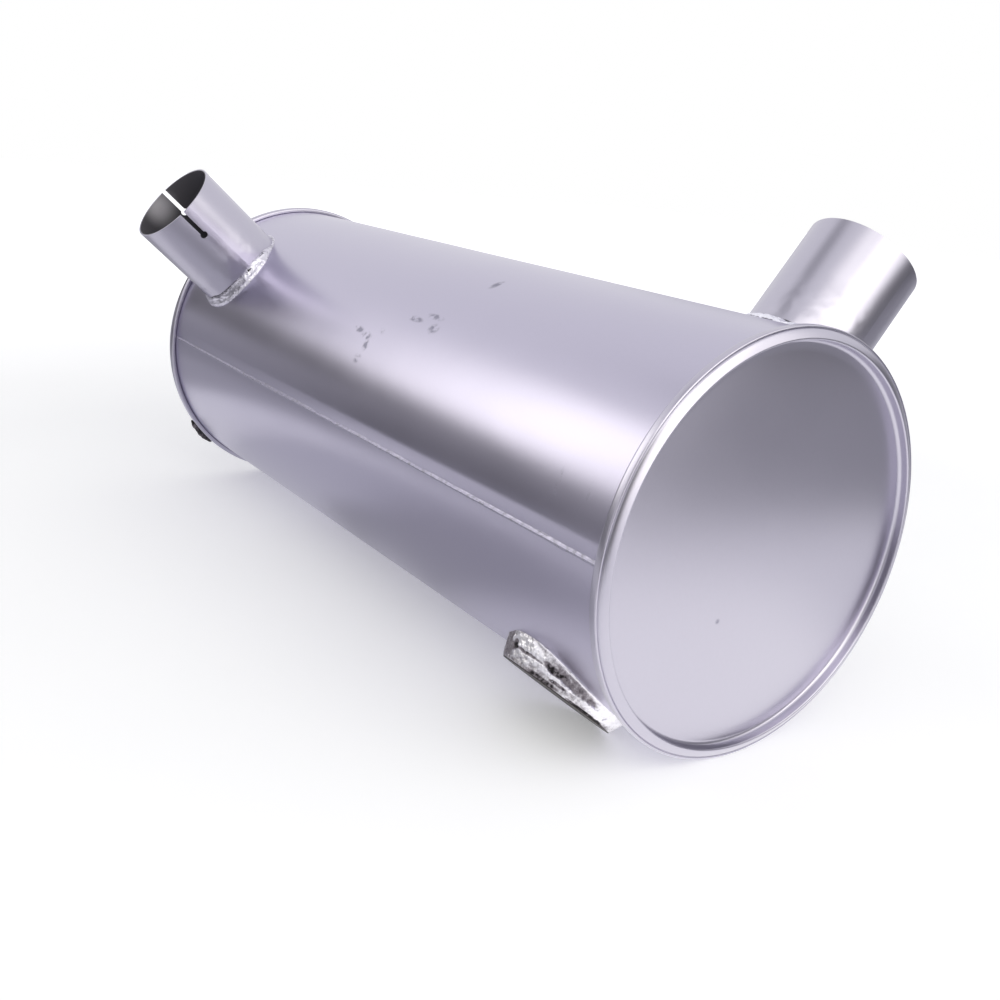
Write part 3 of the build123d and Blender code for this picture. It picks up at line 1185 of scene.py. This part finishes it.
@dataclass
class Studio:
    """Pale floor, soft lamps, cards for the reflections and the camera."""

    floor_height: float = -128.8 * MM
    floor_reach: float = 6.0
    floor_colour: Colour = (0.85, 0.855, 0.905)
    floor_glow: Pair = (0.26, 0.62)
    glow_reach: Pair = (0.5, 2.2)
    ambient: float = 0.62
    camera_place: Triple = (0.6747, -0.4814, 0.2004)
    camera_right: Triple = (0.5841, 0.8049, 0.1049)
    camera_down: Triple = (0.2752, -0.0747, -0.9585)
    camera_forward: Triple = (-0.7636, 0.5887, -0.2652)
    lens: float = 39.58
    shift: Pair = (-0.0059, -0.0444)
    lamps: tuple[Softbox, ...] = (
        Softbox("right_softbox", 2, 24, 1.9, 2.2, 1.6),
        Softbox("front_softbox", 322, 42, 1.5, 1.8, 1.05),
        Softbox("rear_softbox", 36, 32, 1.1, 1.8, 0.75),
        Softbox("left_softbox", 223, 27, 0.88, 1.3, 1.75),
    )
    flags: tuple[Flag, ...] = (
        Flag("left_low", (206, 278), (0.75, 0.75), (-0.17, 0.08), 0.08),
        Flag("left_low_rear", (164, 224), (0.76, 0.76), (-0.17, 0.08), 0.36),
        Flag("left_high", (168, 276), (0.77, 0.77), (0.03, 0.23), 0.1),
        Flag("left_rear_card", (188, 214), (0.78, 0.78), (0.17, 0.36), 0.6),
        Flag("left_top_card", (192, 264), (0.75, 0.7), (1.15, 2.15), 0.3),
        Flag("front_card", (314, 346), (0.75, 0.75), (-0.2, 0.46), 0.1),
        Flag("right_low", (2, 84), (0.75, 0.75), (-0.19, 0.12), 0.37),
        Flag("right_dark", (2, 40), (0.74, 0.74), (-0.15, 0.06), 0.36),
        Flag("right_high", (12, 82), (0.76, 0.76), (0.02, 0.25), 0.12),
        Flag("rear_card", (60, 138), (0.77, 0.77), (-0.2, 0.36), 0.66),
        Flag("front_floor", (240, 342), (0.3, 3.0), (-0.1280, -0.1280), 0.12),
        # The next four cards lie on the floor and show only in reflections: the first three are
        # painted shadow of the muffler on the floor, the last a painted pool of light on the floor
        # beyond the front cap.
        Flag("near_floor_shadow", (200, 334), (0.02, 0.40), (-0.1283, -0.1283), 0.42),
        Flag("left_floor_shadow", (148, 262), (0.13, 0.36), (-0.1282, -0.1282), 0.62),
        Flag("left_far_floor_shadow", (150, 260), (0.48, 0.8), (-0.1281, -0.1281), 0.45),
        Flag("right_floor_light", (-34, 38), (0.22, 0.62), (-0.1282, -0.1282), 1.32, 0.97),
    )

    def build(self) -> None:
        """Set up the world, floor, lamps, cards, camera and view."""
        self._world()
        self._floor()
        for lamp in self.lamps:
            lamp.hang()
        for flag in self.flags:
            flag.stand()
        self._camera()
        bpy.context.scene.view_settings.view_transform = "Standard"
        LOG.info("studio: %d lamps, %d cards", len(self.lamps), len(self.flags))

    def _world(self) -> None:
        """White backdrop for the camera and for reflections, and a softer level for the light."""
        world = bpy.data.worlds.new("studio")
        bpy.context.scene.world = world
        world.use_nodes = True
        nodes = Nodes(world.node_tree)
        strength = nodes.add("MapRange", {0: nodes.seen(), 3: self.ambient, 4: 1.0}).outputs[0]
        back = nodes.add("Background", {"Color": (1.0, 1.0, 1.0), "Strength": strength})
        nodes.add("OutputWorld", {"Surface": back.outputs[0]})

    def _floor(self) -> None:
        """Wide pale floor, which the camera and reflections see nearly white."""
        reach = np.linspace(-self.floor_reach, self.floor_reach, 9)
        rows = [[(x, y, self.floor_height) for x in reach] for y in reach]
        floor = grid_object("floor", np.array(rows), (False, False))
        material, nodes, shader = principled("floor")
        place = nodes.place()
        tone = nodes.ramp(nodes.noise(place, 6), 0.3, 0.7, 0.99, 1)
        nodes.feed(shader.inputs["Base Color"], nodes.shade(self.floor_colour, tone))
        shader.inputs["Roughness"].default_value = 0.8
        shader.inputs["Specular IOR Level"].default_value = 0.1
        shader.inputs["Emission Color"].default_value = (1.0, 1.0, 1.0, 1.0)
        glow = nodes.ramp(nodes.vector("LENGTH", place), *self.glow_reach, *self.floor_glow)
        nodes.feed(shader.inputs["Emission Strength"], nodes.math("MULTIPLY", nodes.seen(), glow))
        floor.data.materials.append(material)

    def _camera(self) -> None:
        """Camera at the photograph's viewing angle."""
        data = bpy.data.cameras.new("camera")
        data.lens = self.lens
        data.shift_x, data.shift_y = self.shift
        data.clip_start = 0.01
        camera = bpy.data.objects.new("camera", data)
        axes = (self.camera_right, self.camera_down, self.camera_forward)
        right, down, forward = (Vector(axis) for axis in axes)
        turn = Matrix((right, -down, -forward)).transposed()
        camera.matrix_world = Matrix.Translation(self.camera_place) @ turn.to_4x4()
        bpy.context.scene.collection.objects.link(camera)
        bpy.context.scene.camera = camera


@dataclass
class Muffler:
    """The whole muffler: new skins and beads, and the carried-over solids with their finishes."""

    layout: Layout = field(default_factory=Layout)
    drum_colour: Colour = (0.50, 0.475, 0.60)
    drum_marks: tuple[Smudge, ...] = (
        Smudge(0.0005, 145.8, 0.011, 0.0032, 1.5),
        Smudge(0.0140, 147.0, 0.009, 0.0042, 1.5),
        Smudge(0.0199, 149.8, 0.0045, 0.0065, 1.4),
        Smudge(0.0180, 154.8, 0.006, 0.0045, 1.2),
        Smudge(0.0280, 143.8, 0.005, 0.0035, 0.7),
        Smudge(0.0530, 136.1, 0.011, 0.0032, 1.5),
        Smudge(0.0700, 133.3, 0.012, 0.0032, 1.5),
        Smudge(0.0780, 137.3, 0.007, 0.0055, 1.5),
        Smudge(0.0835, 112.8, 0.0045, 0.0085, 1.1),
        Smudge(0.2525, 163.0, 0.0022, 0.010, 0.9),
        Smudge(0.2770, 162.0, 0.0018, 0.007, 0.6),
    )
    cap_marks: tuple[Smudge, ...] = (Smudge(0.3, 226.8, 0.01, 0.0024, 1.0, from_axis=0.051),)
    pipe_dents: float = 30.0
    bore_within: float = 0.75 * MM
    bead_scale: Colour = (0.27, 0.26, 0.32)
    inlet_legs: tuple[Triple, ...] = (
        (0, 7, 7), (15, 5.5, 7), (30, 2.5, 6), (45, 1.2, 2.5), (60, 1.0, 1.5), (90, 3, 3),
        (180, 4, 4), (255, 3, 4), (270, 4, 5.5), (285, 4.5, 7), (300, 5.5, 7), (315, 6.5, 7),
        (330, 7, 7),
    )
    inlet_patches: tuple[Patch, ...] = (
        Patch(330, 0.55, 24, 0.22, 0.5),
        Patch(300, 0.4, 16, 0.3, 0.9),
        Patch(330, 0.12, 34, 0.12, 0.95),
        Patch(10, 0.5, 22, 0.45, 1.0),
        Patch(358, 0.72, 5, 0.09, 0.05),
        Patch(25, 0.8, 6, 0.1, 0.3),
        Patch(318, 0.97, 28, 0.07, 0.0),
        Patch(290, 0.97, 14, 0.09, 0.1),
    )
    outlet_legs: tuple[Triple, ...] = (
        (0, 5, 4), (180, 4, 4), (235, 4, 4), (255, 5.5, 5), (285, 6.5, 6), (310, 6, 5),
    )
    outlet_patches: tuple[Patch, ...] = (
        # The dark patches at shares 0.95 and 0.05 are painted shade in the crevices beside the pipe
        # and the drum; the bright ridge patch at share 0.5 is partly a painted highlight.
        Patch(272, 0.5, 34, 0.3, 1.0),
        Patch(276, 0.95, 24, 0.2, 0.05),
        Patch(266, 0.05, 24, 0.18, 0.05),
        Patch(287, 0.78, 6, 0.2, 0.15),
        Patch(300, 0.4, 9, 0.4, 0.95),
    )
    # The dark patches at shares 0.97 and 0.93 lie along the foot bead's lower edge and are painted
    # shadow in the gap under it.
    foot_patches: tuple[Patch, ...] = (
        Patch(124, 0.5, 18, 0.7, 0.35),
        Patch(0, 0.42, 36, 0.42, 0.86),
        Patch(94, 0.3, 22, 0.24, 1.0),
        Patch(90, 0.52, 22, 0.06, 0.25),
        Patch(108, 0.45, 5, 0.2, 0.1),
        Patch(72, 0.62, 20, 0.1, 0.8),
        Patch(38, 0.32, 26, 0.24, 0.3),
        Patch(60, 0.42, 11, 0.14, 0.08),
        Patch(48, 0.6, 16, 0.07, 0.85),
        Patch(52, 0.74, 9, 0.07, 0.2),
        Patch(66, 0.93, 18, 0.1, 0.1),
        Patch(95, 0.93, 16, 0.06, 0.45),
        Patch(14, 0.97, 28, 0.08, 0.0),
        Patch(20, 0.02, 62, 0.07, 0.98),
    )
    bare: tuple[str, ...] = (
        "front_baffle", "rear_baffle", "transfer_tube_1", "transfer_tube_2", "transfer_tube_3",
        "inlet_end_plate",
    )
    inner_welds: tuple[str, ...] = (
        "front_baffle_tacks", "rear_baffle_tacks", "front_tube_welds", "rear_tube_welds",
    )

    def build(self, frame: dict) -> None:
        """Make the pieces and dress the carried-over nodes.
        """
        effects, layout = Effects(), self.layout
        drum_paint = SilverPaint("drum_paint", self.drum_colour, marks=self.drum_marks)
        seam_metal = WeldMetal(
            "seam_weld", (0.46, 0.44, 0.56), (0.35, 0.34, 0.41), hollow=(0.24, 0.23, 0.27)
        )
        drum = Drum(layout)
        drum.build(drum_paint.build(effects))
        drum.build_bead(seam_metal.build(effects))
        bore = Bore(layout.inlet_x, layout.inlet_angle, layout.inlet_radius - self.bore_within)
        pipe_paint = SilverPaint("pipe_paint", dents=self.pipe_dents, bore=bore).build(effects)
        self._pipe_welds(effects, pipe_paint)
        cap_paint = SilverPaint("cap_paint", marks=self.cap_marks).build(effects)
        EndCap(layout, "front_cap", "front_end_cap", 1).build(cap_paint)
        EndCap(layout, "rear_cap", "rear_end_cap", -1).build(cap_paint)
        steel = BareSteel().build(effects)
        # Painted shade: the near-black colour of the outlet's end plate stands for its shadowed
        # underside next to the floor.
        plate_shade = BareSteel("plate_shade_steel", (0.09, 0.085, 0.09), (0.06, 0.05, 0.05), (0.44, 0.6))
        bare_weld = BareSteel("bare_weld", (0.3, 0.29, 0.3), roughness=(0.44, 0.6))
        self._dress(frame, ("inlet_pipe", "outlet_pipe"), pipe_paint)
        self._dress(frame, self.bare, steel)
        self._dress(frame, ("outlet_end_plate",), plate_shade.build(effects))
        self._dress(frame, self.inner_welds, bare_weld.build(effects))

    def _pipe_welds(self, effects: Effects, pipe_paint: Material) -> None:
        """Make the beads round the pipes and the lump on the rear rim.

        Args:
            effects: the shared node groups.
            pipe_paint: the pipes' finish.
        """
        layout = self.layout
        inlet = (layout.inlet_x, layout.inlet_angle, layout.inlet_radius)
        outlet = (layout.outlet_x, layout.outlet_angle, layout.outlet_radius)
        foot = (layout.outlet_x, layout.outlet_angle + 180, layout.outlet_radius)
        inlet_bead = SaddleWeld(
            layout, "inlet_bead", "inlet_weld", *inlet, self.inlet_patches, legs=self.inlet_legs
        )
        inlet_metal = WeldMetal("painted_weld", (0.68, 0.66, 0.76), self.bead_scale)
        outlet_bead = SaddleWeld(
            layout, "outlet_bead", "outlet_weld", *outlet, self.outlet_patches, seed=2.0,
            legs=self.outlet_legs, bulge=2.4 * MM, hollow=0.2 * MM, rough=1.0,
        )
        # The outlet bead's near-white ridge colour is partly a painted highlight.
        outlet_metal = WeldMetal("bright_weld", (0.86, 0.85, 0.96), self.bead_scale)
        for bead, metal in ((inlet_bead, inlet_metal), (outlet_bead, outlet_metal)):
            bead.build(metal.build(effects))
            bead.build_collar(pipe_paint)
        foot_metal = WeldMetal("foot_weld", (0.88, 0.86, 0.93), speck=0.5).build(effects)
        foot_bead = FootWeld(layout, "foot_bead", "outlet_foot_weld", *foot, self.foot_patches)
        foot_bead.build(foot_metal)
        RimBlob().build(foot_metal)

    def _dress(self, frame: dict, names: Sequence[str], material: Material) -> None:
        """Give carried-over nodes their finish.

        Args:
            names: the nodes.
            material: the finish.
        """
        for name in names:
            node = frame["nodes"][name]
            node.data.materials.clear()
            node.data.materials.append(material)
            LOG.info("%s: carried over with %s", name, material.name)


def main() -> None:
    """Load the frame, build the muffler and the studio."""
    logging.basicConfig(level=logging.INFO, format="%(message)s")
    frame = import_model()
    Muffler().build(frame)
    Studio().build()


if __name__ == "__main__":
    main()
